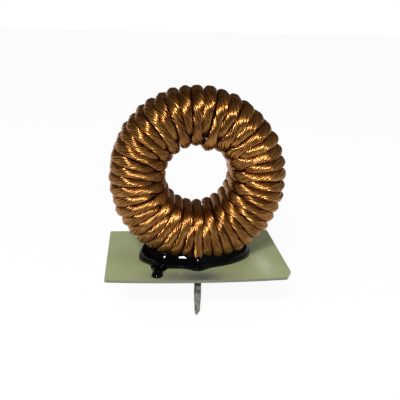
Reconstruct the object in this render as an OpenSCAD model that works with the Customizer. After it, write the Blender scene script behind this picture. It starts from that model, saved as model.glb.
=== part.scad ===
// Toroidal inductor: a powder core wound with a twisted copper bundle, standing on edge on a thin
// base plate, bedded in black epoxy, with both ends of the bundle through the plate as solder leads.
// The origin is the centre of the plate's underside. +Z is up, and the coil's axis runs along Y.

/* [Core] */
// Outside diameter of the bare core
core_od = 46.7; // [45:0.1:48]
// Inside diameter of the bare core
core_id = 27.9; // [27:0.1:29]
// Length of the bare core along its axis
core_h = 16.1; // [14:0.1:18]
// Rounding of the core's edges
core_round = 2; // [1:0.1:2.5]

/* [Winding] */
// Number of turns
turns = 44; // [36:1:46]
// Depth of one layer of the bundle, outside the hole
layer_t = 3.15; // [2.8:0.05:3.5]
// Depth of one layer in the hole, where every other turn lies on top of its neighbours
bore_layer_t = 2.15; // [1.8:0.05:2.3]
// How much thinner the bundle lies where it bends over the core's edges
edge_squeeze = 0.8; // [0.2:0.1:1]
// How far each stiff turn bows off the middle of the core's faces
face_crown = 0.4; // [0:0.1:0.8]
// Widest that the bundle spreads
bundle_w = 4; // [3:0.1:4.2]
// Clearance between the bundle and the core, and between layers
wire_gap = 0.05; // [0.03:0.01:0.1]
// How unevenly the turns are spaced, as a share of their pitch
unevenness = 0.05; // [0:0.01:0.12]
// How unevenly the turns stand out
raggedness = 0.3; // [0:0.05:0.4]
// How far the one slack turn hangs into the hole
slack = 1.2; // [0:0.1:1.5]

/* [Place] */
// Clearance between the lowest turn and the plate
seat_gap = 0.1; // [0.05:0.05:1]
// Distance of the coil's middle in front of the plate's middle
coil_forward = 3; // [2:0.5:5]

/* [Leads] */
// Diameter of the bundle where it leaves the coil
lead_d = 3.1; // [2.8:0.1:3.3]
// How far each lead stands out from the face of the coil
lead_outset = 0.9; // [0.5:0.1:1.5]
// Diameter of the lead at the top of its neck, which narrows through the hole and the epoxy collar
neck_d = 2.6; // [2.4:0.05:2.7]
// Diameter of the straight, solder-filled lead end
tip_d = 2.2; // [2:0.1:2.3]
// Length of the straight lead end, below its neck
tip_straight = 5.6; // [4:0.2:8]
// Length of the tapered part of a lead end
tip_taper = 5; // [4:0.2:7]
// Diameter at the end of the taper
tip_end_d = 1.6; // [1.4:0.1:1.8]
// Length of the point
tip_point = 1.2; // [0.8:0.1:2]
// How much shorter the rear lead is cut
rear_short = 2.5; // [0:0.1:3]

/* [Plate] */
// Width of the plate
plate_w = 55; // [54:1:62]
// Depth of the plate
plate_d = 42; // [40:1:46]
// Thickness of the plate
plate_t = 0.8; // [0.6:0.1:2]
// How far the hand-cut front edge bows out
plate_bow = 1.5; // [0:0.1:2]
// Width of the cut corner
cut_w = 2; // [1:0.5:4]
// Depth of the cut corner
cut_d = 4; // [2:0.5:6]
// Rounding of the other corners
corner_r = 0.6; // [0.3:0.1:1.5]
// Clearance round each lead in its hole
hole_gap = 0.45; // [0.3:0.05:0.6]

/* [Epoxy] */
// Height of the epoxy bed above the plate
bed_h = 5.8; // [5:0.1:7]
// Width of the epoxy bed
bed_w = 35.6; // [33:0.2:38]
// How far the bed lies inside the coil's two faces
bed_inset = 0.4; // [0:0.1:1]
// How far the bed swells out round each lead
bed_swell = 1.9; // [1.5:0.1:2.5]
// How far the bed is turned on the plate, in degrees
bed_turn = 7; // [0:1:10]
// Wall of the epoxy collar round each lead, below the plate
collar_wall = 0.35; // [0.2:0.05:0.4]
// Length of the collar below the plate
collar_h = 2.4; // [1:0.1:3]
// Length of bare neck below the collar
neck_bare = 0.3; // [0.2:0.1:1]
// Diameter of the drip's round end
drip_d = 3.8; // [3:0.1:4.5]
// Height of the drip's round end
drip_h = 1.7; // [1.2:0.1:2.5]
// Distance of the drip's round end to the left of the middle
drip_left = 12.8; // [11:0.1:14]
// Distance of the drip's round end from the plate's front corners' line
drip_back = 2.2; // [2:0.1:4]

/* [Hidden] */
$fn = 64;

// Radii and half length of the core, and the middle of the coil
ri = core_id / 2;
ro = core_od / 2;
half_h = core_h / 2;
coil_y = -coil_forward;
coil_z = plate_t + seat_gap + ro + layer_t;

// The bundle's cross-section has seven corners, with a flat side towards the core
sides = 7;
flat = cos(180 / sides);
// Share of the spacing that a turn may fill where it has no neighbour in its own layer
fill = 0.94;
// Square of the spacing, in half sizes, at which neighbouring turns stay clear of each other
apart = 4.5;

// The core's cross-section as [radius, depth, direction of the outward normal], which one turn follows
// from the front face through the hole to the back face, and round the outside to the front again
in_r = ri + core_round;
out_r = ro - core_round;
edge_y = half_h - core_round;
bend = 30;
function edge_pts(r, y, from) =
    [for (a = [from : -bend : from - 90]) [r + core_round * cos(a), y + core_round * sin(a), a]];
section = concat(
    [[(in_r + out_r) / 2, -half_h, 270]],
    edge_pts(in_r, -edge_y, 270),
    edge_pts(in_r, edge_y, 180),
    [[(in_r + out_r) / 2, half_h, 90]],
    edge_pts(out_r, edge_y, 90),
    edge_pts(out_r, -edge_y, 0)
);
steps = len(section);
// Station at the middle of the back face, the last that the winding reaches
last_step = steps / 2;
// Clearance at which the straight pieces between stations pass the core's rounded edges
clear = wire_gap + core_round * (1 / cos(bend / 2) - 1);

// Share of a turn that is behind each station, by the length of the path
function hop(j) = norm([section[j + 1][0] - section[j][0], section[j + 1][1] - section[j][1]]);
lengths = [for (j = 0, s = 0; j < steps; s = j < steps - 1 ? s + hop(j) : s, j = j + 1) s];
loop_length = lengths[steps - 1] + (out_r - in_r) / 2;
function share(j) = lengths[j] / loop_length;

// Angle of the winding after u turns: even, plus two slow waves that crowd and spread the turns
start_angle = -90;
pitch = 360 / turns;
wide_at = 150;
wave_1 = unevenness * 180 / PI;
wave_2 = 0.6 * wave_1;
function wave(a) = wave_1 * sin(a - wide_at) + wave_2 * sin(2 * (a - wide_at));
function coil_angle(u) = start_angle + pitch * u + wave(pitch * u) - wave(0);
function local_pitch(u) = (coil_angle(u + 0.5) - coil_angle(u - 0.5)) * PI / 180;

// Share of the way from lying side by side on the faces to lying in two layers in the hole
pile_r = ri + 0.7 * (ro - ri);
pile_ease = 1.6;
function piled(r) = pow(max(0, min(1, (pile_r - r) / (pile_r - ri))), pile_ease);
// Step of phase from turn to turn, which never repeats
jitter = 137.5;
// Depth of turn k's layer: thinner in the hole and over the core's edges, and a little uneven outside
function depth(k, p, normal) =
    layer_t + (bore_layer_t - layer_t) * p
    - edge_squeeze * (1 - p / 2) * abs(sin(2 * normal))
    - raggedness * (1 - p) * (0.5 + 0.5 * sin(jitter * k));
// Every other turn lies on top in the hole, and one of those hangs slack
slack_turn = 20;
function lift(k, p) = k % 2 == 0 ? p * (bore_layer_t + (k == slack_turn ? slack : 0)) : 0;
// Half width of a turn of half depth b where turns are spaced by w and piled by p
function half_w(w, b, p) =
    min(bundle_w / 2, fill * w, w / sqrt(max(0.5, apart - pow(p * bore_layer_t / b, 2))));

// One cross-section of the bundle: its middle, its directions across and away from the core, its half sizes
function ring(mid, across, away, a, b) =
    [for (i = [0 : sides - 1]) let (t = 360 * (i + 0.5) / sides - 90)
        mid + a * cos(t) * across + b * sin(t) * away];
function turn_ring(k, j) =
    let (
        s = section[j],
        t = coil_angle(k + share(j)),
        p = piled(s[0]),
        b = (depth(k, p, s[2]) - clear) / (1 + flat),
        c = clear + flat * b + lift(k, p) + (j % last_step == 0 ? face_crown : 0),
        r = s[0] + c * cos(s[2]),
        w = r * local_pitch(k + share(j))
    )
    ring(
        [r * cos(t), coil_y + s[1] + c * sin(s[2]), coil_z + r * sin(t)],
        [-sin(t), 0, cos(t)],
        [cos(s[2]) * cos(t), sin(s[2]), cos(s[2]) * sin(t)],
        half_w(w, b, p),
        b
    );

// Places of the two leads: each leaves the coil's face at the end of the winding and drops straight down
function lead_x(u) = out_r * cos(coil_angle(u));
lead_reach = half_h + clear + flat * (layer_t - clear) / (1 + flat) + lead_outset;
front_x = lead_x(0);
front_y = coil_y - lead_reach;
rear_x = lead_x(turns - 1 + share(last_step));
rear_y = coil_y + lead_reach;
seam_z = plate_t / 2;
lead_r = lead_d / 2;
neck_r = neck_d / 2;
tip_r = tip_d / 2;
hole_r = lead_r + hole_gap;
leads = [[front_x, front_y, 0], [rear_x, rear_y, 0]];

// A lead from the seam in its hole up to the coil's lowest turn: [height, share of the outset]
rise = layer_t + seat_gap + core_round;
lead_steps = [
    [seam_z, 1], [plate_t + 0.2 * rise, 1], [plate_t + 0.55 * rise, 0.9], [plate_t + 0.9 * rise, 0.4]
];
lead_count = len(lead_steps);
function lead_ring(x, y, side, s) =
    ring([x, y - side * (1 - s[1]) * lead_outset, s[0]], [1, 0, 0], [0, side, 0], lead_r, lead_r);
bundle_rings = concat(
    [for (s = lead_steps) lead_ring(front_x, front_y, -1, s)],
    [for (k = [0 : turns - 1]) for (j = [0 : (k < turns - 1 ? steps - 1 : last_step)]) turn_ring(k, j)],
    [for (i = [1 : lead_count]) lead_ring(rear_x, rear_y, 1, lead_steps[lead_count - i])]
);

// Closes a list of rings, each with n points, into one skin
module skin(rings) {
    n = len(rings[0]);
    last = len(rings) - 1;
    sleeve = [
        for (i = [0 : last - 1]) for (m = [0 : n - 1])
            let (a = i * n + m, b = i * n + (m + 1) % n)
            each [[a, b, b + n], [a, b + n, a + n]]
    ];
    ends = [[for (m = [n - 1 : -1 : 0]) m], [for (m = [0 : n - 1]) last * n + m]];
    polyhedron(points = [for (r = rings) each r], faces = concat(sleeve, ends), convexity = 10);
}

// The bundle's two lower quarters, each with its lead, which are all that reaches the epoxy
low_rings = lead_count + round(turns / 4) * steps;
module low_turns() {
    skin([for (i = [0 : low_rings]) bundle_rings[i]]);
    skin([for (i = [len(bundle_rings) - 1 - low_rings : len(bundle_rings) - 1]) bundle_rings[i]]);
}

// Half depth and outline of the epoxy bed, a blunt oval that swells round both leads
bed_half_d = half_h + layer_t - bed_inset;
bed_power = 1.8;
bed_pts = 48;
swell_angle = 14;
function swell(a, at) = bed_swell * exp(-pow((a - at) / swell_angle, 2));
function bed_r(a) =
    pow(pow(abs(cos(a)) / (bed_w / 2), bed_power) + pow(abs(sin(a)) / bed_half_d, bed_power), -1 / bed_power)
    + swell(a, 270 - bed_turn) + swell(a, 90 - bed_turn);
function bed_ring(grow, z) =
    [for (i = [bed_pts - 1 : -1 : 0]) let (a = 360 * i / bed_pts, r = grow * bed_r(a))
        [r * cos(a + bed_turn), coil_y + r * sin(a + bed_turn), z]];
// Shares of the outline and of the height, from the plate up to the flat top under the coil
bed_profile = [[0.985, 0], [1.01, 0.22], [1.01, 0.5], [0.98, 0.75], [0.91, 0.93], [0.75, 1]];

module core() {
    color("#3c4042")
        translate([0, coil_y, coil_z]) rotate([90, 0, 0]) rotate_extrude() {
            translate([in_r, -half_h]) square([out_r - in_r, core_h]);
            translate([ri, -edge_y]) square([ro - ri, 2 * edge_y]);
            for (r = [in_r, out_r], y = [-edge_y, edge_y]) translate([r, y]) circle(core_round);
        }
}

module winding() {
    color("#9a5f24") skin(bundle_rings);
}

// A lead's neck narrows from the seam in the hole down through the collar
neck_h = collar_h + neck_bare;
module neck() {
    translate([0, 0, -neck_h]) cylinder(h = neck_h + seam_z, r1 = tip_r, r2 = neck_r);
}

// A solder-filled lead end: the neck, then a straight part, a taper and a point
module lead_tip(at, taper) {
    taper_z = -neck_h - tip_straight;
    end_z = taper_z - taper;
    color("#a9a9a6") translate(at) {
        neck();
        translate([0, 0, taper_z]) cylinder(h = tip_straight, r = tip_r);
        translate([0, 0, end_z]) cylinder(h = taper, r1 = tip_end_d / 2, r2 = tip_r);
        translate([0, 0, end_z - tip_point]) cylinder(h = tip_point, r1 = tip_end_d / 8, r2 = tip_end_d / 2);
    }
}

module front_lead_tip() {
    lead_tip(leads[0], tip_taper);
}

module rear_lead_tip() {
    lead_tip(leads[1], tip_taper - rear_short);
}

// Outline of the plate: rounded corners, one corner cut off, and a bowed front edge
function corner_pts(x, y, from) =
    [for (a = [0 : 30 : 90]) [x + corner_r * cos(from + a), y + corner_r * sin(from + a)]];
function bow_y(x) = -plate_d / 2 - plate_bow * (1 - pow(2 * x / plate_w, 2));
plate_pts = concat(
    corner_pts(plate_w / 2 - corner_r, plate_d / 2 - corner_r, 0),
    corner_pts(-plate_w / 2 + corner_r, plate_d / 2 - corner_r, 90),
    [[-plate_w / 2, -plate_d / 2 + corner_r]],
    [for (s = [0 : 1 / 24 : 1]) let (x = (s - 0.5) * plate_w + corner_r * (1 - s) - cut_w * s) [x, bow_y(x)]],
    [[plate_w / 2, -plate_d / 2 + cut_d]]
);

module base_plate() {
    color("#a3ab7d")
        difference() {
            linear_extrude(plate_t) polygon(plate_pts);
            for (p = leads) translate(p) cylinder(h = 3 * plate_t, r = hole_r, center = true);
        }
}

// The drip: a neck from the bed to a round end near the plate's front edge
module drip() {
    end_y = -plate_d / 2 + drip_back;
    start_y = coil_y - 0.7 * bed_half_d;
    translate([-drip_left, 0, plate_t]) intersection() {
        union() {
            hull() translate([0, end_y, 0]) scale([1, 1, 2 * drip_h / drip_d]) sphere(d = drip_d, $fn = 20);
            hull() {
                translate([0, end_y, 0]) sphere(d = 0.6 * drip_d, $fn = 16);
                translate([0, start_y, 0]) sphere(d = 0.9 * drip_d, $fn = 16);
            }
        }
        translate([-drip_d, end_y - drip_d, 0]) cube([2 * drip_d, start_y - end_y + 2 * drip_d, drip_d]);
    }
}

// What fills the coil behind the crests of the turns
module coil_body() {
    half_t = layer_t / 2;
    translate([0, coil_y, coil_z]) rotate([90, 0, 0]) rotate_extrude()
        translate([ri - half_t, -half_h - half_t]) square([ro - ri + layer_t, core_h + layer_t]);
}

module epoxy() {
    color("#16181a")
        difference() {
            union() {
                skin([for (s = bed_profile) bed_ring(s[0], plate_t + s[1] * bed_h)]);
                drip();
                for (p = leads) translate(p) {
                    cylinder(h = 2 * plate_t, r = hole_r);
                    translate([0, 0, -collar_h]) cylinder(h = collar_h + plate_t, r = neck_r + collar_wall);
                }
            }
            coil_body();
            low_turns();
            for (p = leads) translate(p) neck();
        }
}

core();
winding();
front_lead_tip();
rear_lead_tip();
base_plate();
epoxy();
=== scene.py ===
# %% [markdown]
# # A toroidal inductor, strand by strand
# The real object is a ring of pressed iron powder, wound with a bundle of fine enamelled copper
# strands, and bedded in black epoxy on a thin glass-epoxy plate. Two ends of the bundle go down
# through the plate as soldered leads.
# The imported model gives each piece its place. It stays as the frame, and this script dresses it:
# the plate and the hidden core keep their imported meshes, and every other piece gets a finer one.

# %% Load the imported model
import math

import bmesh
import bpy
import numpy as np
from mathutils import Matrix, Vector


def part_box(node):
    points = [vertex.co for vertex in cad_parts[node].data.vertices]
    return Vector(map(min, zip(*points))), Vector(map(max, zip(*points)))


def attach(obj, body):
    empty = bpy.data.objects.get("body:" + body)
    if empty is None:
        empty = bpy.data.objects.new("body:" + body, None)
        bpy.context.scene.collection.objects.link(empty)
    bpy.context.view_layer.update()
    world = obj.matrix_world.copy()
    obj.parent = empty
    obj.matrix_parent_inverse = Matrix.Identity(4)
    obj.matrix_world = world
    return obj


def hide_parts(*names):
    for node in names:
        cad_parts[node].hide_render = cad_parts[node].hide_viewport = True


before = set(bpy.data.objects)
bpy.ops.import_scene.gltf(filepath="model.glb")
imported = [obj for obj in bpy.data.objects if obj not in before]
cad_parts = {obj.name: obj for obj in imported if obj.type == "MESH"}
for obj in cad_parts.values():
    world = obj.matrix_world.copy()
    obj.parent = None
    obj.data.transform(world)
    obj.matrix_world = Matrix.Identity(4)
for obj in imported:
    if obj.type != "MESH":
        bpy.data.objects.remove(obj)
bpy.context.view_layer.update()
print("nodes:", sorted(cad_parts))

# %% [markdown]
# ## Sizes
# Lengths are in millimetres, with the origin at the middle of the plate's underside and the coil's
# axis along Y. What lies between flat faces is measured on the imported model. Its round surfaces are
# made of small facets, and a box round those would come out a little short. So radii are written
# out, like the other sizes that it was built with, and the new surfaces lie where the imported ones
# do. A mesh is scaled to metres only when it is made.

# %% The core and the plate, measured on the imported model
MM = 0.001


def corners(node):
    """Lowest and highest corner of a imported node's box, to the thousandth of a millimetre."""
    return [np.round(np.array(corner) / MM, 3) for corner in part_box(node)]


core_low, core_high = corners("core")
plate_high = corners("base_plate")[1]
half_h = (core_high[1] - core_low[1]) / 2
coil_y = (core_high[1] + core_low[1]) / 2
plate_t = plate_high[2]
plate_front = -plate_high[1]  # line of the front corners: the cut edge between them bows out past it
print("core's half depth:", half_h, "its middle:", coil_y, "plate's thickness:", plate_t)

# %% Sizes of the core and the winding
outer_r = 23.35  # radius of the core
inner_r = 13.95  # radius of its hole
core_round = 2.0  # rounding of its edges
turns = 44
layer_t = 3.15  # depth of one layer of the bundle, outside the hole
bore_layer_t = 2.15  # depth of one layer in the hole
edge_squeeze = 0.8  # how much thinner the bundle lies where it bends over the core's edges
bundle_w = 4.0  # widest that the bundle spreads
wire_gap = 0.05  # clearance between the bundle and the core
unevenness = 0.05  # how unevenly the turns are spaced, as a share of their spacing
raggedness = 0.3  # how unevenly the turns stand out
slack_turn = 20
slack = 1.2  # how far that one turn hangs into the hole
seat_gap = 0.1  # clearance between the lowest turn and the plate
coil_z = plate_t + seat_gap + outer_r + layer_t
print("turns:", turns, "spaced by", round(2 * math.pi * inner_r / turns, 2), "mm in the hole")

# %% Sizes of the leads and the resin
lead_d = 3.1  # bundle where it leaves the coil
lead_outset = 0.9  # how far a lead stands out from the coil's face
neck_d = 2.6  # top of the narrowing neck, in the plate's hole
neck_h = 2.7  # neck below the plate
tip_d = 2.2  # straight soldered end
tip_straight = 5.6
tip_taper = 5.0
tip_end_d = 1.6  # end of the taper
tip_point = 1.2
rear_short = 2.5  # how much shorter the rear lead is cut
seam_z = plate_t / 2  # height at which the copper ends and the soldered part starts
hole_gap = 0.45  # clearance round a lead in the plate's hole
bed_h = 5.8  # resin above the plate
bed_w = 35.6
bed_inset = 0.4  # how far the resin lies inside the coil's two faces
bed_swell = 1.9  # how far it swells out round each lead
bed_turn = 7.0  # degrees that it is turned on the plate
collar_wall = 0.35  # resin round each lead, below the plate
collar_h = 2.4
drip_left = 12.8  # from the middle of the plate to the drip
drip_back = 2.2  # from the line of the plate's front corners to the drip's round end
print("front lead below the plate:", neck_h + tip_straight + tip_taper + tip_point, "mm")

# %% [markdown]
# ## From arrays to meshes
# Each new piece is a grid of points worked out at once with numpy. A ring of points that is carried
# along a path makes a closed tube, and its two ends are closed with one face each. Blender can read
# the points and faces straight from flat arrays, which is quick even for long strands.

# %% Build a mesh from points and faces of four corners
def mesh_from_grids(name, grids):
    """Closed tubes from an array [tube, station, side, xyz]: walls of faces with four corners, and one face
    over each end."""
    count, stations, sides, _ = grids.shape
    index = np.arange(count * stations * sides).reshape(count, stations, sides)
    a, b = index[:, :-1], index[:, 1:]
    walls = np.stack([a, np.roll(a, -1, 2), np.roll(b, -1, 2), b], axis=-1).reshape(-1, 4)
    ends = np.concatenate([index[:, 0, ::-1], index[:, -1]])
    loops = np.concatenate([walls.ravel(), ends.ravel()])
    sizes = np.concatenate([np.full(len(walls), 4), np.full(len(ends), sides)])
    mesh = bpy.data.meshes.new(name)
    mesh.vertices.add(index.size)
    mesh.vertices.foreach_set("co", (grids.reshape(-1, 3) * MM).ravel())
    mesh.loops.add(len(loops))
    mesh.loops.foreach_set("vertex_index", loops)
    mesh.polygons.add(len(sizes))
    mesh.polygons.foreach_set("loop_start", np.concatenate([[0], np.cumsum(sizes)[:-1]]))
    mesh.update(calc_edges=True)
    mesh.polygons.foreach_set("use_smooth", np.arange(len(sizes)) < len(walls))
    mesh.validate()
    return mesh


def place(name, mesh, finish, node):
    """Puts a mesh in the scene as a piece that stands for the named CAD node."""
    piece = bpy.data.objects.new(name, mesh)
    bpy.context.scene.collection.objects.link(piece)
    mesh.materials.append(finish)
    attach(piece, "root")
    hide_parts(node)
    print(name, "faces:", len(mesh.polygons))

# %% [markdown]
# ## The path of the bundle
# One turn follows the rounded rectangle of the core's section: through the hole, over the back face,
# round the outside and over the front face. The turns are spread round the ring with two slow waves,
# because they are wound by hand. In the hole there is room for only half of them side by side, so
# every other turn lies on top there, and one of those hangs slack.
# A Curve with a bevel could carry a plain tube along such a path. Here the path is worked out as
# arrays, because the strands also need to know which way is across the bundle and which way is off
# the core, at every point. Last, its corners are eased and it gets a slow sway to both sides.

# %% Stations of one turn round the core's section
in_r = inner_r + core_round
out_r = outer_r - core_round
edge_y = half_h - core_round
mid_r = (in_r + out_r) / 2
# For each station: the middle of the rounding there, as radius and depth, and the way the surface faces
round_r = np.array([mid_r, in_r, in_r, in_r, in_r, mid_r, out_r, out_r, out_r, out_r, mid_r])
round_y = edge_y * np.array([-1, -1, -1, 1, 1, 1, 1, 1, -1, -1, -1])
facing = np.array([270, 270, 180, 180, 90, 90, 90, 0, 0, -90, -90.0])
legs = np.hypot(np.diff(round_r), np.diff(round_y)) + core_round * np.radians(-np.diff(facing))
legs_end = np.concatenate([[0], np.cumsum(legs)])
share = legs_end / legs_end[-1]
print("length of one turn on the core:", round(legs_end[-1], 2), "mm")

# %% Angle of the winding after u turns
start_angle = -90.0  # the winding starts at the bottom
wide_at = 150.0  # where the turns lie furthest apart, in degrees on from the start
wave_1 = unevenness * 180 / math.pi
wave_2 = 0.6 * wave_1


def wave(a):
    """Two slow waves, in degrees, that crowd and spread the turns."""
    return wave_1 * np.sin(np.radians(a - wide_at)) + wave_2 * np.sin(np.radians(2 * (a - wide_at)))


def coil_angle(u):
    """Angle round the coil in degrees: even, plus the waves."""
    return start_angle + 360 / turns * u + wave(360 / turns * u) - wave(0)


print("angle of the last turn:", round(coil_angle(turns - 1), 1), "degrees")

# %% Values that belong to a turn
outer_wall = 0.75  # share of a turn at which the bundle lies on the coil's outer wall
handover = 0.24  # share of a turn, round that place, over which one turn's value gives way to the next
jitter = 137.5  # step of phase from turn to turn, in degrees, which never repeats
turn_number = np.arange(turns)
pressed_in = 0.5 + 0.5 * np.sin(np.radians(jitter * turn_number))  # from 0 to 1 for each turn
on_top_by = (turn_number % 2 == 0) * (bore_layer_t + slack * (turn_number == slack_turn))


def step(x):
    """Smooth step from 0 to 1."""
    x = np.clip(x, 0, 1)
    return x * x * (3 - 2 * x)


def per_turn(values, u):
    """Value of each turn, passed on smoothly to the next one on the coil's outer wall."""
    w = u + (1 - outer_wall)
    near = np.round(w)
    old = values[np.clip(near - 1, 0, len(values) - 1).astype(int)]
    new = values[np.clip(near, 0, len(values) - 1).astype(int)]
    return old + (new - old) * step((w - near + handover / 2) / handover)


print("first turns, pressed in:", pressed_in[:4].round(2), "on top by:", on_top_by[:4])

# %% Middle line, directions and half sizes of the bundle on the core
flat = math.cos(math.pi / 7)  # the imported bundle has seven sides: how near its middle a flat side comes
facet = 30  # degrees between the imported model's steps round the core's edges
clear = wire_gap + core_round * (1 / math.cos(math.radians(facet / 2)) - 1)
pile_r = inner_r + 0.7 * (outer_r - inner_r)  # radius within which the turns start to crowd
pile_ease = 1.6  # how slowly the bundle thins on its way into the hole
lift_ease = 4  # how late a top turn lifts off its neighbours
fill = 0.97  # most half width, against the spacing, where the neighbours are in the other layer
apart = 3.85  # squared distance of neighbours in half sizes: at 4 they would touch, so these press together
least_apart = 0.5  # keeps the root below away from zero


def on_core(u):
    """The bundle after u turns: its middle, its directions across and away from the core, its half sizes.
    The middle lies off the core's surface by half the layer's depth, plus one layer where it is on top.
    The half width is the most that the bundle, its spacing and its neighbours allow."""
    s = u - np.floor(u)
    normal = np.radians(np.interp(s, share, facing))
    surface_r = np.interp(s, share, round_r) + core_round * np.cos(normal)
    surface_y = np.interp(s, share, round_y) + core_round * np.sin(normal)
    angle = np.radians(coil_angle(u))
    inward = np.clip((pile_r - surface_r) / (pile_r - inner_r), 0, 1)
    piled = inward ** pile_ease
    lifted = inward ** lift_ease
    depth = (layer_t + (bore_layer_t - layer_t) * piled - raggedness * (1 - piled) * per_turn(pressed_in, u)
             - edge_squeeze * (1 - piled / 2) * np.abs(np.sin(2 * normal)))
    half_b = (depth - clear) / (1 + flat)
    off = clear + flat * half_b + lifted * per_turn(on_top_by, u)
    r = surface_r + off * np.cos(normal)
    spacing = r * np.radians(coil_angle(u + 0.5) - coil_angle(u - 0.5))
    room = spacing / np.sqrt(np.maximum(least_apart, apart - (lifted * bore_layer_t / half_b) ** 2))
    half_a = np.minimum(np.minimum(bundle_w / 2, fill * spacing), room)
    zero = np.zeros_like(angle)
    middle = np.stack([r * np.cos(angle), coil_y + surface_y + off * np.sin(normal),
                       coil_z + r * np.sin(angle)], 1)
    across = np.stack([-np.sin(angle), zero, np.cos(angle)], 1)
    away = np.stack([np.cos(normal) * np.cos(angle), np.sin(normal), np.cos(normal) * np.sin(angle)], 1)
    return middle, across, away, half_a, half_b


print("half sizes at the start:", [size.round(2) for size in on_core(np.array([0.0]))[3:]])

# %% [markdown]
# ## The leads
# At each end the bundle leaves the coil's face, steps out a little and drops straight down through
# its hole in the plate. There it is round again. It could be a tube of its own, but on the real coil
# the strands run on, so a lead gives the same five arrays as the winding and is joined to its ends.

# %% A lead, from the seam in its hole up to the coil
lead_reach = half_h + clear + flat * (layer_t - clear) / (1 + flat) + lead_outset
last_u = turns - 0.5
front_lead = np.array([out_r * math.cos(math.radians(coil_angle(0.0))), coil_y - lead_reach])
rear_lead = np.array([out_r * math.cos(math.radians(coil_angle(last_u))), coil_y + lead_reach])
lead_stations = 60
straight_h = 1.0  # above the plate, where a lead starts to bend towards the coil
print("leads at", front_lead.round(2), rear_lead.round(2))


def lead(foot, u, side):
    """A lead as the same five arrays, from the seam up: a round bundle straight over its foot blends into the
    bundle after u turns."""
    middle, across, away, half_a, half_b = (value[0] for value in on_core(np.array([u])))
    z = np.linspace(seam_z, middle[2], lead_stations)[:-1]
    blend = step((z - plate_t - straight_h) / (middle[2] - plate_t - straight_h))[:, None]
    line = np.column_stack([foot + (middle[:2] - foot) * blend, z])
    cross = np.array([1.0, 0, 0]) * (1 - blend) + across * blend
    out = np.array([0, side, 0.0]) * (1 - blend) + away * blend
    sizes = (lead_d / 2 + (end - lead_d / 2) * blend[:, 0] for end in (half_a, half_b))
    return line, cross, out, *sizes

# %% The whole bundle, as stations an even distance apart
station_gap = 0.85
fine_steps = 24000
fine_u = np.linspace(0, last_u, fine_steps)
rear_down = tuple(values[::-1] for values in lead(rear_lead, last_u, 1))
pieces = [lead(front_lead, 0.0, -1), on_core(fine_u), rear_down]
line, across, away, half_a, half_b = (np.concatenate(values) for values in zip(*pieces))
run = np.concatenate([[0], np.cumsum(np.linalg.norm(np.diff(line, axis=0), axis=1))])
at = np.linspace(0, run[-1], int(run[-1] / station_gap))


def resample(values):
    """Values at even distances along the bundle."""
    if values.ndim == 1:
        return np.interp(at, run, values)
    return np.stack([np.interp(at, run, v) for v in values.T], 1)


line, across, away, half_a, half_b = map(resample, (line, across, away, half_a, half_b))
print("bundle:", round(run[-1] / 1000, 2), "m long,", len(at), "stations")

# %% Corners eased, because copper won't kink
def smoothed(values, spread, reach):
    """Columns of values, each smoothed along its rows by a bell curve that is spread rows wide and ends
    reach rows away. The rows are carried on past both ends by turning them over, so the ends stay."""
    bell = np.exp(-0.5 * (np.arange(-reach, reach + 1) / spread) ** 2)
    wide = np.pad(values, ((reach, reach), (0, 0)), mode="reflect", reflect_type="odd")
    return np.stack([np.convolve(v, bell / bell.sum(), mode="valid") for v in wide.T], 1)


bend_ease = 0.9
line = smoothed(line, bend_ease / station_gap, int(3 * bend_ease / station_gap) + 1)
print("bends eased over", bend_ease, "mm")

# %% A slow sway to both sides, because the turns are laid by hand
rng = np.random.default_rng(7)
sway_size = 0.35
sway_waves = 8
shortest_sway, longest_sway = 14, 45
held_h, freed_h = 8, 14  # above the plate: the resin holds the bundle still, and it sways freely
sway_length = rng.uniform(shortest_sway, longest_sway, (sway_waves, 1))
sway_phase = rng.uniform(0, 2 * np.pi, (sway_waves, 1))
free = step((line[:, 2] - plate_t - held_h) / (freed_h - held_h))
sway = sway_size * np.sin(2 * np.pi * at / sway_length + sway_phase).mean(0) * free
line = line + sway[:, None] * across
print("sway: up to", np.abs(sway).max().round(2), "mm")

# %% [markdown]
# ## The strands
# A coil like this could be one grooved tube, but the real bundle shows separate round strands with
# dark gaps between them. So each outer strand is its own thin tube, which runs round the bundle's
# middle line as a left-handed helix. The strands inside are never seen, and one plain tube stands
# for them, in a copper darker than the strands' as painted shade of the bundle's inside. Seeded
# waves shift each strand sideways and sink it a little, so that the strands bunch and part as
# twisted wires do.

# %% Where each strand runs
strands = 20
lay = -17.0  # length of one whole twist: minus is left-handed
strand_fill = 1.6  # thickness, against strands that would just lie side by side round the bundle
thinnest_r, thickest_r = 0.22, 0.5
side_stretch = 1.02  # width of the strands' outline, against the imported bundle's
inset_a, inset_b = 0.05, 0.07  # how far the strands stay inside that outline, across and away
stray, stray_wave = 0.5, 6  # how far a strand wanders sideways, in strand spacings, and its shortest wave
sink, sink_wave = 0.1, 5  # the same for how far it sinks in or stands out, in millimetres
tangent = np.gradient(line, axis=0)
tangent /= np.linalg.norm(tangent, axis=1, keepdims=True)
turning = np.sign(np.einsum("ij,ij->i", np.cross(across, away), tangent))


def waviness(size, shortest):
    """Smooth random curves along the bundle, one for each strand: twice the mean of six waves, each of a
    length between the shortest and four times that."""
    lengths = rng.uniform(shortest, 4 * shortest, (strands, 6, 1))
    phases = rng.uniform(0, 2 * np.pi, (strands, 6, 1))
    return size * np.sin(2 * np.pi * at / lengths + phases).mean(1) * 2


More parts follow.
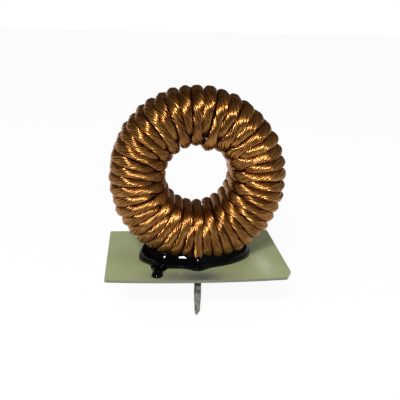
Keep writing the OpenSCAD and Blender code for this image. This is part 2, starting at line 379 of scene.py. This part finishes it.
girth = np.pi * (3 * (half_a + half_b) - np.sqrt((3 * half_a + half_b) * (half_a + 3 * half_b)))
strand_r = np.clip(girth / (2 * strands + 2 * np.pi) * strand_fill, thinnest_r, thickest_r)
phase = 2 * np.pi * (np.arange(strands)[:, None] + waviness(stray, stray_wave)) / strands
phase = phase + turning * 2 * np.pi * at / lay
sunk = waviness(sink, sink_wave)
reach_a = side_stretch * half_a - strand_r - inset_a + sunk
reach_b = half_b - strand_r - inset_b + sunk
centre = (line + (reach_a * np.cos(phase))[..., None] * across
          + (reach_b * np.sin(phase))[..., None] * away)
print("strand diameter:", (2 * strand_r.min()).round(2), "to", (2 * strand_r.max()).round(2), "mm")

# %% Tubes round those lines
def tubes(centre, radius, sides, outward):
    """Round tubes [tube, station, side]: rings square to each line, whose first side leads outward."""
    along = np.gradient(centre, axis=1)
    along /= np.linalg.norm(along, axis=-1, keepdims=True)
    up = outward - along * np.sum(outward * along, -1, keepdims=True)
    up /= np.linalg.norm(up, axis=-1, keepdims=True)
    over = np.cross(along, up)
    turn = 2 * np.pi * np.arange(sides) / sides
    ring = np.cos(turn)[:, None] * up[:, :, None] + np.sin(turn)[:, None] * over[:, :, None]
    return centre[:, :, None] + radius[..., None, None] * ring


strand_sides = 5
strand_grid = tubes(centre, np.broadcast_to(strand_r, centre.shape[:2]), strand_sides, centre - line)
print("strand grid:", strand_grid.shape)

# %% [markdown]
# ## Enamelled copper
# Enamelled wire is bare metal under a clear amber lacquer. Metal alone would look too pink and too
# evenly bright. Here the metal's own colour carries the amber tint, so light that bounces between
# strands gets deeper and browner by itself, and a thin clear coat adds the sharp glints. At a
# grazing angle bare metal turns white, and the specular tint keeps it brown there.

# %% Helpers for materials made of nodes
def material(name, metallic, roughness, **sockets):
    """A material, its node tree, and its Principled shader, whose plain numbers sit on its own sockets."""
    made = bpy.data.materials.new(name)
    made.use_nodes = True
    shader = made.node_tree.nodes["Principled BSDF"]
    shader.inputs["Metallic"].default_value = metallic
    shader.inputs["Roughness"].default_value = roughness
    for socket, value in sockets.items():
        shader.inputs[socket.replace("_", " ")].default_value = value
    return made, made.node_tree, shader


def noise(tree, scale, **sockets):
    """Cloudy noise on object coordinates, with its scale per metre."""
    where = tree.nodes.new("ShaderNodeTexCoord")
    texture = tree.nodes.new("ShaderNodeTexNoise")
    tree.links.new(where.outputs["Object"], texture.inputs["Vector"])
    texture.inputs["Scale"].default_value = scale
    for socket, value in sockets.items():
        texture.inputs[socket].default_value = value
    return texture.outputs["Fac"]


def colours(tree, factor, *stops):
    """A colour for each value of a factor, from (position, linear colour) stops."""
    ramp = tree.nodes.new("ShaderNodeValToRGB")
    tree.links.new(factor, ramp.inputs["Fac"])
    elements = ramp.color_ramp.elements
    while len(elements) < len(stops):
        elements.new(0.5)
    for element, (position, colour) in zip(elements, stops):
        element.position = position
        element.color = (*colour, 1)
    return ramp.outputs["Color"]

# %% The copper's material
copper, tree, shader = material("enamelled copper strands", 1.0, 0.3, Specular_Tint=(0.75, 0.5, 0.3, 1),
                                Coat_Weight=0.6, Coat_Roughness=0.2)
amber = colours(tree, noise(tree, 260, Detail=3.0, Roughness=0.6), (0.3, (0.25, 0.092, 0.014)),
                (0.5, (0.36, 0.154, 0.027)), (0.72, (0.50, 0.250, 0.055)))
tree.links.new(amber, shader.inputs["Base Color"])
rubbed = tree.nodes.new("ShaderNodeMapRange")
rubbed.inputs["To Min"].default_value = 0.26
rubbed.inputs["To Max"].default_value = 0.36
tree.links.new(noise(tree, 2600, Detail=2.0), rubbed.inputs["Value"])
tree.links.new(rubbed.outputs["Result"], shader.inputs["Roughness"])
print("copper ready")

# %% The strands as pieces, a few strands each
bunches = np.array_split(np.arange(strands), 4)
for count, bunch in enumerate(bunches, 1):
    place(f"copper_strands_{count}", mesh_from_grids(f"copper_strands_{count}", strand_grid[bunch]),
          copper, "winding")

# %% One plain tube for the hidden strands inside, in a copper darkened by painted shade
buried = 0.95  # how far the tube lies inside the bundle's outline, in strand radii
tube_sides = 12
ring_turn = (2 * np.pi * np.arange(tube_sides) / tube_sides)[:, None]
every_other = slice(None, None, 2)
tube_a = (half_a - buried * strand_r)[every_other, None, None]
tube_b = (turning * (half_b - buried * strand_r))[every_other, None, None]
hidden = (line[every_other, None] + tube_a * np.cos(ring_turn) * across[every_other, None]
          + tube_b * np.sin(ring_turn) * away[every_other, None])
shade_painted_copper, tree, shader = material("copper in the bundle's shade", 1.0, 0.5)
# A darker copper than the strands': the shade inside the bundle, painted into its colour
painted_shade_umber = colours(tree, noise(tree, 400, Detail=2.0), (0.3, (0.12, 0.05, 0.012)), (0.7, (0.22, 0.09, 0.022)))
tree.links.new(painted_shade_umber, shader.inputs["Base Color"])
place("copper_inside", mesh_from_grids("copper_inside", hidden[None]),
      shade_painted_copper, "winding")

# %% [markdown]
# ## The base plate
# The plate is bare glass-epoxy: pale olive green and a little glossy. Its colour also carries painted
# shade and light. Its cut edges are darker, as painted shade that grows the less a face looks up.
# Round the coil's foot the green is deeper, as painted shade with a brown painted reflection of the
# copper. At the front lead the black resin below the plate shows through it as a soft grey patch of
# painted shade, and a painted whitish reflection lies towards the right edge. A painted image could
# carry all of this. But the spots have no sharp outline, so each is a bell-shaped zone of colour,
# worked out from the distance to a point on the plate.

# %% Helpers for zones of colour
def math_node(tree, operation, first, second=None):
    """A Math node on two inputs, each a number or another node's output."""
    node = tree.nodes.new("ShaderNodeMath")
    node.operation = operation
    for socket, value in zip(node.inputs, (first, second)):
        if isinstance(value, (int, float)):
            socket.default_value = value
        elif value is not None:
            tree.links.new(value, socket)
    return node.outputs[0]


def blend_colour(tree, factor, first, second, kind="MIX"):
    """One colour over another by a factor. A colour is linear red, green and blue, or another node's output.
    The Mix node has inputs for each kind of data, and those for colours are numbers 6 and 7."""
    mix = tree.nodes.new("ShaderNodeMix")
    mix.data_type = "RGBA"
    mix.blend_type = kind
    factor_socket, first_socket, second_socket = (mix.inputs[i] for i in (0, 6, 7))
    if isinstance(factor, float):
        factor_socket.default_value = factor
    else:
        tree.links.new(factor, factor_socket)
    for socket, value in ((first_socket, first), (second_socket, second)):
        if isinstance(value, tuple):
            socket.default_value = (*value, 1)
        else:
            tree.links.new(value, socket)
    return mix.outputs[2]


def axes(tree):
    """Object coordinates as three separate values, named X, Y and Z."""
    where = tree.nodes.new("ShaderNodeTexCoord")
    split = tree.nodes.new("ShaderNodeSeparateXYZ")
    tree.links.new(where.outputs["Object"], split.inputs[0])
    return split.outputs


def near_point(tree, x, y, wide, deep, second="Y"):
    """1 at a point, in millimetres along X and a second axis, which falls to 0 as a bell over an oval."""
    place_on = axes(tree)
    squares = []
    for axis, middle, size in (("X", x, wide), (second, y, deep)):
        offset = math_node(tree, "SUBTRACT", place_on[axis], middle * MM)
        offset = math_node(tree, "MULTIPLY", offset, 1 / (size * MM))
        squares.append(math_node(tree, "MULTIPLY", offset, offset))
    falling = math_node(tree, "MULTIPLY", math_node(tree, "ADD", *squares), -1.0)
    return math_node(tree, "POWER", math.e, falling)

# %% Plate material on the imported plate
laminate, tree, shader = material("glass epoxy laminate", 0.0, 0.3, Specular_IOR_Level=0.45,
                                  Coat_Weight=0.2, Coat_Roughness=0.12)
dressed = colours(tree, noise(tree, 70, Detail=4.0, Roughness=0.55), (0.3, (0.305, 0.345, 0.175)),
                  (0.55, (0.345, 0.39, 0.20)), (0.8, (0.37, 0.41, 0.22)))
plate_shade_zones = [
    # middle in X and Y, width, depth, strength, colour
    # Painted shade round the coil's foot, tinted brown as a painted reflection of the copper
    (0, -3, 21, 14, 0.55, (0.25, 0.265, 0.115)),  # deeper green round the coil's foot
    # Painted shade: the black resin below the plate, seen through it, with the light that it blocks
    (-3, -19.5, 13, 5, 0.95, (0.150, 0.157, 0.118)),  # resin seen through the plate
    # Deeper painted shade where the front lead's resin collar lies below the plate
    (0.5, -20.3, 4.6, 3.2, 0.8, (0.075, 0.078, 0.073)),  # collar of the front lead, darker
]
for x, y, wide, deep, strength, tone in plate_shade_zones:
    zone = math_node(tree, "MULTIPLY", near_point(tree, x, y, wide, deep), strength)
    dressed = blend_colour(tree, zone, dressed, tone)
# A painted whitish reflection towards the right edge, broken up by noise
reflection_zone = near_point(tree, 20.3, -10.5, 2.6, 7.5)
painted_reflection = math_node(tree, "MULTIPLY", noise(tree, 900, Detail=3.0), reflection_zone)
dressed = blend_colour(tree, math_node(tree, "MINIMUM", painted_reflection, 1.0), dressed, (0.62, 0.66, 0.50))
# Painted shade: every face darkens the less it faces up, which darkens the plate's cut edges
surface = tree.nodes.new("ShaderNodeNewGeometry")
facing_up = tree.nodes.new("ShaderNodeSeparateXYZ")
tree.links.new(surface.outputs["Normal"], facing_up.inputs[0])
painted_edge_shade = math_node(tree, "SUBTRACT", 1.0, math_node(tree, "ABSOLUTE", facing_up.outputs["Z"]))
dressed = blend_colour(tree, painted_edge_shade, dressed, (0.13, 0.14, 0.095))
tree.links.new(dressed, shader.inputs["Base Color"])
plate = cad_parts["base_plate"]
plate.data.materials.clear()
plate.data.materials.append(laminate)
print("plate dressed, with", len(plate_shade_zones), "zones and a haze")

# %% [markdown]
# ## The core
# The ring of iron powder is painted, and the winding hides it. A new mesh would never be seen, so the
# packed one stays. Only its colour counts, deep between two turns, and it gets a matt, nearly black
# brown. A coating that shines would put pale sparks into the gaps.

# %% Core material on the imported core
coating, tree, shader = material("painted powder core", 0.0, 0.7, Specular_IOR_Level=0.1)
soot = colours(tree, noise(tree, 900, Detail=3.0), (0.35, (0.016, 0.011, 0.007)), (0.7, (0.030, 0.020, 0.012)))
tree.links.new(soot, shader.inputs["Base Color"])
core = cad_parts["core"]
core.data.materials.clear()
core.data.materials.append(coating)
print("core dressed")

# %% [markdown]
# ## The epoxy
# The coil's foot sits in black potting resin, which was poured, crept out in one drip and set with a
# smooth, bulging skin. A cast like this could be sculpted. Here it is worked out as a drop is: its
# outline on the plate is a formula, and its height over each point follows from how far that point
# is from the outline. The drip is a row of half-round sections, and the resin that hangs below the
# plate, as a collar round each lead, is turned as on a lathe.

# %% Outline of the resin on the plate
bed_depth = half_h + layer_t - bed_inset
bed_middle = np.array([0, coil_y])
turned = math.radians(bed_turn)
bluntness = 1.8  # power of the oval: 2 is an ellipse
lead_swell_wide = math.radians(14)
drip_swell = 1.5
drip_swell_at, drip_swell_wide = math.radians(221), math.radians(13)


def bed_outline(a):
    """Points [n, 2] of a blunt oval at angles a, turned a little on the plate, that swells out as a bell at
    both leads and where the drip runs out."""
    blunt = np.abs(np.cos(a) / (bed_w / 2)) ** bluntness + np.abs(np.sin(a) / bed_depth) ** bluntness
    r = blunt ** (-1 / bluntness)
    for lead_at in (1.5 * np.pi - turned, 0.5 * np.pi - turned):
        r = r + bed_swell * np.exp(-(((a - lead_at) / lead_swell_wide) ** 2))
    r = r + drip_swell * np.exp(-(((a - drip_swell_at + turned) / drip_swell_wide) ** 2))
    return bed_middle + r[:, None] * np.stack([np.cos(a + turned), np.sin(a + turned)], 1)


def even(points, count):
    """A closed line of points, resampled to an even spacing."""
    loop = np.concatenate([points, points[:1]])
    far = np.concatenate([[0], np.cumsum(np.linalg.norm(np.diff(loop, axis=0), axis=1))])
    where = np.linspace(0, far[-1], count, endpoint=False)
    return np.stack([np.interp(where, far, v) for v in loop.T], 1)


bed_points = 480
bed_angles = np.linspace(0, 2 * np.pi, 5 * bed_points, endpoint=False)
bed_line = even(bed_outline(bed_angles), bed_points)
print("resin outline:", bed_line.min(0).round(1), bed_line.max(0).round(1))

# %% Height of the resin bed
rings = 20
crowding = 1.8  # how much closer the rings lie at the edge, where the skin is steep
flat_top = 0.8  # share of the way to the middle at which the last ring lies: one face closes it
rounding = 2.1  # power of the edge's curve: 2 is a quarter circle
edge_reach = 4.6  # how far in from its edge the resin reaches its full height
front_dip, dip_wide = 0.3, 5.0  # how much lower it lies in front of the coil, round the lead
to_middle = flat_top * ((np.arange(rings) / (rings - 1)) ** crowding)[:, None, None]
bed_xy = bed_line + to_middle * (bed_middle - bed_line)
depth_in = np.stack([np.sqrt(((ring[:, None] - bed_line) ** 2).sum(-1).min(1)) for ring in bed_xy])


def swelling(share_in, power):
    """Height of a drop's skin, from 0 at its edge to 1, as a superellipse of the share of the way in."""
    return (1 - (1 - np.clip(share_in, 0, 1)) ** power) ** (1 / power)


x, y = bed_xy[..., 0], bed_xy[..., 1]
by_lead = np.exp(-((x / dip_wide) ** 2)) * (y < coil_y)
# Two shallow ripples cross the skin. They fade out towards the edge, which lies flat on the plate.
ripple = (0.10 * np.sin(1.1 * x + 0.7) + 0.06 * np.sin(2.3 * x - 1.4 * y)) * np.clip(depth_in, 0, 1)
bed_height = (bed_h - front_dip * by_lead) * swelling(depth_in / edge_reach, rounding) + ripple
bed_grid = np.concatenate([bed_xy, (plate_t + bed_height)[..., None]], -1)
print("resin height:", bed_height.max().round(2))

# %% The drip, as half-round sections along its path
drip_stations = np.array([
    # distance behind the round end's middle, shift to the right, half width, height
    [7.5, 1.5, 3.0, 0.5], [5.8, 1.3, 2.6, 0.9], [4.6, 1.1, 2.2, 1.2], [3.4, 0.95, 1.7, 1.4],
    [2.3, 0.8, 1.38, 1.5], [1.2, 0.55, 1.5, 1.6], [0.2, 0.4, 1.72, 1.66], [-0.6, 0.4, 1.58, 1.55],
    [-1.2, 0.4, 1.15, 1.2], [-1.6, 0.4, 0.65, 0.75], [-1.8, 0.4, 0.2, 0.3]])
drip_rings = 90
along = np.linspace(0, len(drip_stations) - 1, drip_rings)
straight_legs = np.stack([np.interp(along, np.arange(len(drip_stations)), v) for v in drip_stations.T], 1)
back, shift, half_width, top = smoothed(straight_legs, 4, 8).T
over_top = np.pi * np.arange(25) / 24
under = np.linspace(-1, 1, 8)[1:-1]
section_x = np.concatenate([np.cos(over_top), under])
section_z = np.concatenate([np.sin(over_top) ** 0.85, np.zeros(len(under))])
drip_y = plate_front + drip_back + back
drip_grid = np.stack([
    shift[:, None] - drip_left + half_width[:, None] * section_x,
    np.broadcast_to(drip_y[:, None], (drip_rings, len(section_x))),
    plate_t + top[:, None] * section_z], -1)
print("drip: from", drip_y.max().round(1), "to", drip_y.min().round(1))

# %% The plugs in the holes and the collars below them
hole_r = lead_d / 2 + hole_gap
collar_r = neck_d / 2 + collar_wall
low = -collar_h
round_turn = 2 * np.pi * np.arange(48) / 48
collar_profile = [
    # height and radius: a rounded foot, the straight wall, and the plug that fills the hole in the plate
    (low, collar_r - 0.3), (low + 0.06, collar_r - 0.12), (low + 0.2, collar_r - 0.03), (low + 0.5, collar_r),
    (-0.6, collar_r), (-0.02, collar_r), (0.0, hole_r), (plate_t, hole_r), (1.3 * plate_t, hole_r - 0.3)]
collar_wobble = 0.02


def lathe(middle, profile, wobble):
    """Rings [station, side, xyz] round a standing axis, from (height, radius) pairs. The radius wavers by a
    share of itself, three and five times a turn."""
    z, r = np.array(profile).T
    waver = np.sin(3 * round_turn + 5 * z[:, None]) + np.sin(5 * round_turn - 3 * z[:, None])
    uneven_r = r[:, None] * (1 + wobble * waver / 2)
    x = middle[0] + uneven_r * np.cos(round_turn)
    y = middle[1] + uneven_r * np.sin(round_turn)
    return np.stack([x, y, np.broadcast_to(z[:, None], x.shape)], -1)


collars = [lathe(foot, collar_profile, collar_wobble) for foot in (front_lead, rear_lead)]
print("collars:", len(collars), "of radius", collar_r)

# %% The resin's material, and the whole cast as one piece
def joined(name, grids):
    """One mesh from several grids of their own sizes."""
    whole = bmesh.new()
    for grid in grids:
        part = mesh_from_grids(name, grid[None])
        whole.from_mesh(part)
        bpy.data.meshes.remove(part)
    mesh = bpy.data.meshes.new(name)
    whole.to_mesh(mesh)
    whole.free()
    return mesh


resin, tree, shader = material("black potting resin", 0.0, 0.05, Specular_IOR_Level=0.15)
black = colours(tree, noise(tree, 200, Detail=2.0), (0.3, (0.0006, 0.0006, 0.001)),
                (0.8, (0.002, 0.002, 0.003)))
tree.links.new(black, shader.inputs["Base Color"])
skin = tree.nodes.new("ShaderNodeBump")
skin.inputs["Strength"].default_value = 0.25
skin.inputs["Distance"].default_value = 0.0003
tree.links.new(noise(tree, 420, Detail=2.0), skin.inputs["Height"])
tree.links.new(skin.outputs["Normal"], shader.inputs["Normal"])
place("epoxy_casting", joined("epoxy_casting", [bed_grid, drip_grid, *collars]), resin, "epoxy")

# %% [markdown]
# ## The soldered lead ends
# Below the plate the strands are soaked with solder, so the end is one stiff rod that still shows
# the twist of its strands as soft ridges. Flux has left dark spots, and the cutter left a slanted
# end. A cylinder with a bump texture would have a smooth outline, so here the ridges are in the
# rod's own radius.

# %% Rods with soft twisted ridges
rod_rings, rod_sides = 70, 56
ridges, ridge_share, dent_share = 7, 0.07, 0.03
slant = 0.25  # how far the point leans to the left


def rod(foot, taper):
    """Rings of a soldered end: a narrowing neck, a straight part, a taper and a slanted point. The radius is
    a little less between the twisted ridges, and in a few shallow dents."""
    straight_end = -neck_h - tip_straight
    end_z = straight_end - taper
    point_z = end_z - tip_point * np.array([0.35, 0.7, 1.0])
    z = np.concatenate([np.linspace(seam_z, end_z, rod_rings), point_z])[:, None]
    r = np.interp(z, [end_z - tip_point, end_z, straight_end, -neck_h, seam_z],
                  [0.1 * tip_end_d, tip_end_d / 2, tip_d / 2, tip_d / 2, neck_d / 2])
    side = 2 * np.pi * np.arange(rod_sides) / rod_sides
    twist = side - 2 * np.pi * z / lay
    ridge = np.abs(np.sin(ridges / 2 * twist + 0.4 * np.sin(2 * z))) ** 0.7
    dent = 0.5 + 0.5 * np.sin(2.1 * z + 2 * side)
    reach = r * (1 - ridge_share * (1 - ridge) - dent_share * dent)
    to_point = np.clip((end_z + 0.4 - z) / (tip_point + 0.4), 0, 1)
    x = foot[0] + reach * np.cos(side) - slant * to_point
    y = foot[1] + reach * np.sin(side)
    return np.stack([x, y, np.broadcast_to(z, x.shape)], -1)


lead_ends = {"front": rod(front_lead, tip_taper), "rear": rod(rear_lead, tip_taper - rear_short)}
print("lowest points:", {name: grid[..., 2].min().round(1) for name, grid in lead_ends.items()})

# %% The solder's material, and the two ends as pieces
tin, tree, shader = material("solder over strands", 0.85, 0.36, Specular_Tint=(0.25, 0.25, 0.25, 1))
silver = colours(tree, noise(tree, 900, Detail=4.0, Roughness=0.65), (0.32, (0.03, 0.028, 0.022)),
                 (0.4, (0.16, 0.16, 0.15)), (0.6, (0.26, 0.26, 0.245)), (0.75, (0.42, 0.42, 0.405)))
flux_spots = [
    # from the lead's middle, height, width, depth
    (-1.1, -5.9, 0.6, 1.1),
    (0.35, -6.3, 0.6, 0.5),
    (0, -neck_h - 1.2, 3, 0.8),  # a dark band below the neck
]
flux = 0.0
for aside, height, wide, deep in flux_spots:
    spot = near_point(tree, front_lead[0] + aside, height, wide, deep, "Z")
    flux = math_node(tree, "ADD", spot, flux)
spotted = blend_colour(tree, math_node(tree, "MINIMUM", flux, 1.0), silver, (0.02, 0.018, 0.015))
tree.links.new(spotted, shader.inputs["Base Color"])
for name, grid in lead_ends.items():
    place(f"soldered_{name}_end", mesh_from_grids(f"soldered_{name}_end", grid[None, ::-1]), tin,
          f"{name}_lead_tip")

# %% [markdown]
# ## Camera
# The camera stands a little to the left of the coil's axis and looks down by about sixteen degrees.
# It could be aimed with a Track To constraint. Here its three angles are turned into its own
# directions, because a small roll is part of the view.

# %% The camera
def standing(side, top, back, where):
    """The matrix of a camera or lamp, from its right, its top, the way behind it, and its place in metres."""
    return Matrix([(side[i], top[i], back[i], where[i]) for i in range(3)] + [(0, 0, 0, 1)])


yaw, pitch, roll = (math.radians(a) for a in (-5.58, 16.43, 1.26))
ahead = np.array([-math.sin(yaw) * math.cos(pitch), math.cos(yaw) * math.cos(pitch), -math.sin(pitch)])
right = np.array([math.cos(yaw), math.sin(yaw), 0])
up = np.cross(right, ahead)
eye = np.array([-17.0, -188.8, 73.3 + plate_t]) * MM
camera = bpy.data.objects.new("camera", bpy.data.cameras.new("camera"))
camera.data.sensor_width = 36
camera.data.lens = 56.97
camera.data.clip_start = 0.01
camera.matrix_world = standing(math.cos(roll) * right + math.sin(roll) * up,
                               math.cos(roll) * up - math.sin(roll) * right, -ahead, eye)
bpy.context.scene.collection.objects.link(camera)
bpy.context.scene.camera = camera
print("camera at", eye.round(4), "lens", round(camera.data.lens, 1))

# %% [markdown]
# ## Floor and room
# A copper bundle shows what it mirrors, so the room matters as much as the lamp. A picture of a real
# room could light it. Here a few plain zones do, because each then has one clear task. The floor is
# a white sheet that lights the turns from below, and it ends in front of the coil on a dark table,
# so the coil's front face stays deep. The room above is dim and warm, which keeps the tops of the
# turns brown, and a low white strip behind the coil puts a pale gleam on glossy edges. To the camera
# itself, all of it is plain white.

# %% Helpers for the floor and the room
def either(tree, factor, first, second):
    """The second shader where the factor is 1, and else the first."""
    mix = tree.nodes.new("ShaderNodeMixShader")
    for value, socket in zip((factor, first, second), mix.inputs):
        tree.links.new(value, socket)
    return mix.outputs[0]


def seen_directly(tree, path):
    """1 for rays that the camera sees straight on or through glass."""
    return math_node(tree, "MAXIMUM", path.outputs["Is Camera Ray"], path.outputs["Is Transmission Ray"])


def white_sheet(own_white, sheet_from, sheet_to):
    """A white sheet on a dark table, which blend into each other between two places along Y. The camera sees
    both as white, with a little of their shadow, and mirrors see that white only on the sheet."""
    made = bpy.data.materials.new("white sheet")
    made.use_nodes = True
    tree = made.node_tree
    tree.nodes.clear()
    sheet = tree.nodes.new("ShaderNodeMapRange")
    sheet.interpolation_type = "SMOOTHSTEP"
    sheet.inputs["From Min"].default_value = sheet_from * MM
    sheet.inputs["From Max"].default_value = sheet_to * MM
    tree.links.new(axes(tree)["Y"], sheet.inputs["Value"])
    on_sheet = sheet.outputs["Result"]
    diffuse = tree.nodes.new("ShaderNodeBsdfDiffuse")
    table_and_sheet = colours(tree, on_sheet, (0.0, (0.05, 0.05, 0.05)), (1.0, (0.9, 0.9, 0.9)))
    tree.links.new(table_and_sheet, diffuse.inputs["Color"])
    glow = tree.nodes.new("ShaderNodeEmission")
    path = tree.nodes.new("ShaderNodeLightPath")
    in_mirror = math_node(tree, "MULTIPLY", path.outputs["Is Glossy Ray"], on_sheet)
    white = math_node(tree, "MAXIMUM", seen_directly(tree, path), in_mirror)
    white = math_node(tree, "MULTIPLY", white, own_white)
    out = tree.nodes.new("ShaderNodeOutputMaterial")
    tree.links.new(either(tree, white, diffuse.outputs[0], glow.outputs[0]), out.inputs["Surface"])
    return made

# %% Floor
below_leads = 0.5
floor_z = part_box("front_lead_tip")[0].z - below_leads * MM
floor_reach = 3.0  # metres
floor_corners = [(x * floor_reach, y * floor_reach, floor_z) for x, y in ((-1, -1), (1, -1), (1, 1), (-1, 1))]
floor_mesh = bpy.data.meshes.new("floor")
floor_mesh.from_pydata(floor_corners, [], [(0, 1, 2, 3)])
floor_mesh.materials.append(white_sheet(own_white=0.93, sheet_from=-120, sheet_to=-50))
floor = bpy.data.objects.new("floor", floor_mesh)
bpy.context.scene.collection.objects.link(floor)
print("floor at", round(floor_z, 4))

# %% World: plain white to the camera, a dim warm room to mirrors, an even light for matt surfaces
world = bpy.data.worlds.new("room")
bpy.context.scene.world = world
world.use_nodes = True
tree = world.node_tree
tree.nodes.clear()
where = tree.nodes.new("ShaderNodeTexCoord")
direction = tree.nodes.new("ShaderNodeSeparateXYZ")
tree.links.new(where.outputs["Generated"], direction.inputs[0])


def background(colour):
    """A Background shader with a grey level or another node's colour."""
    shade = tree.nodes.new("ShaderNodeBackground")
    if isinstance(colour, float):
        shade.inputs["Color"].default_value = (colour, colour, colour, 1)
    else:
        tree.links.new(colour, shade.inputs["Color"])
    return shade.outputs[0]


nothing, all_of_it = (0.0, 0.0, 0.0), (1.0, 1.0, 1.0)
overhead = colours(tree, direction.outputs["Z"], (0.0, (0.055, 0.040, 0.028)), (0.3, (0.060, 0.045, 0.032)),
                   (0.7, (0.085, 0.075, 0.065)))
behind = colours(tree, direction.outputs["Y"], (0.55, nothing), (0.85, (0.05, 0.045, 0.04)))
beside = colours(tree, direction.outputs["X"], (0.1, nothing), (0.8, (0.08, 0.072, 0.065)))
low_strip = colours(tree, direction.outputs["Z"], (0.03, all_of_it), (0.08, nothing))
back_half = colours(tree, direction.outputs["Y"], (0.2, nothing), (0.4, all_of_it))
room = blend_colour(tree, 1.0, overhead, behind, "ADD")
room = blend_colour(tree, 1.0, room, beside, "ADD")
room = blend_colour(tree, 1.0, room, blend_colour(tree, 1.0, low_strip, back_half, "MULTIPLY"), "ADD")
path = tree.nodes.new("ShaderNodeLightPath")
light = either(tree, path.outputs["Is Diffuse Ray"], background(room), background(0.5))
light = either(tree, seen_directly(tree, path), light, background(1.0))
out = tree.nodes.new("ShaderNodeOutputWorld")
tree.links.new(light, out.inputs["Surface"])
print("room ready")

# %% [markdown]
# ## The lamp
# One lamp stands over the camera, a little to the left, and draws one gold glint on each turn. A sun
# would make the glints hard and a large panel would smear them, so it is a small oblong area light.

# %% The lamp
def lamp(name, azimuth, elevation, distance, wide, high, power):
    """An oblong soft light, sized in metres and watts, that points at the coil's middle. Azimuth 0 is in
    front, and minus is to the left."""
    a, e = math.radians(azimuth), math.radians(elevation)
    back = np.array([math.sin(a) * math.cos(e), -math.cos(a) * math.cos(e), math.sin(e)])
    side = np.cross([0, 0, 1.0], back)
    side /= np.linalg.norm(side)
    light = bpy.data.lights.new(name, "AREA")
    light.shape = "RECTANGLE"
    light.size = wide
    light.size_y = high
    light.energy = power
    holder = bpy.data.objects.new(name, light)
    coil_middle = np.array([0, coil_y, coil_z]) * MM
    holder.matrix_world = standing(side, np.cross(back, side), back, coil_middle + distance * back)
    bpy.context.scene.collection.objects.link(holder)
    print(name, "lamp at", (coil_middle + distance * back).round(3))


lamp("key", azimuth=-17, elevation=33, distance=0.6, wide=0.14, high=0.075, power=3.9)

# %% Colour management
bpy.context.scene.view_settings.view_transform = "Standard"
